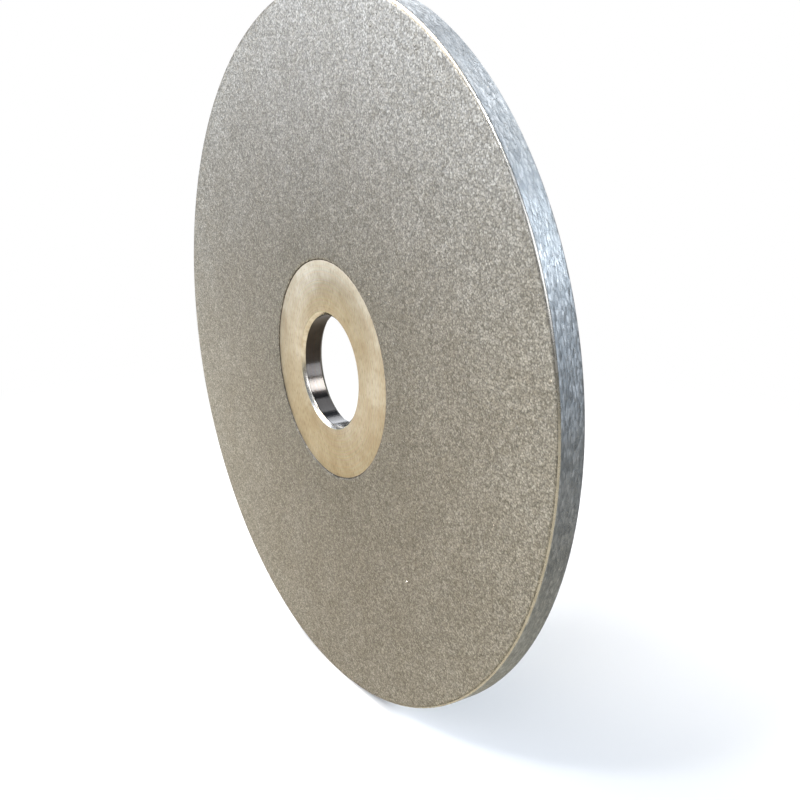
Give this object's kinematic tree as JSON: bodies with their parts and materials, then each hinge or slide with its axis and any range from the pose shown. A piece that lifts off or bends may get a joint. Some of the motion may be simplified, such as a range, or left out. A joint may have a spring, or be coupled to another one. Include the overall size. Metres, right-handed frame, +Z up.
{
  "type": "grinding wheel",
  "caption": "Flat steel disc with a plain chamfered bore and a bare clamping ring, plated with diamond grit over both faces and the rim.",
  "frame": {"origin": "centre of the wheel: on the bore's axis, at mid-thickness", "axes": "+Y along the bore's axis, from the front face to the back face; +Z up with the wheel standing on its rim"},
  "size_m": [0.2, 0.0074, 0.2],
  "materials": {
    "turned_steel": "turned carbon steel, bare and faintly stained",
    "face_grit": "matt grey nickel plate full of diamond grit",
    "rim_grit": "brighter nickel plate full of diamond grit"
  },
  "bodies": {
    "root": {"wheel_plate": "turned_steel", "front_diamond_coat": "face_grit", "rim_diamond_coat": "rim_grit", "back_diamond_coat": "face_grit"}
  },
  "joints": []
}
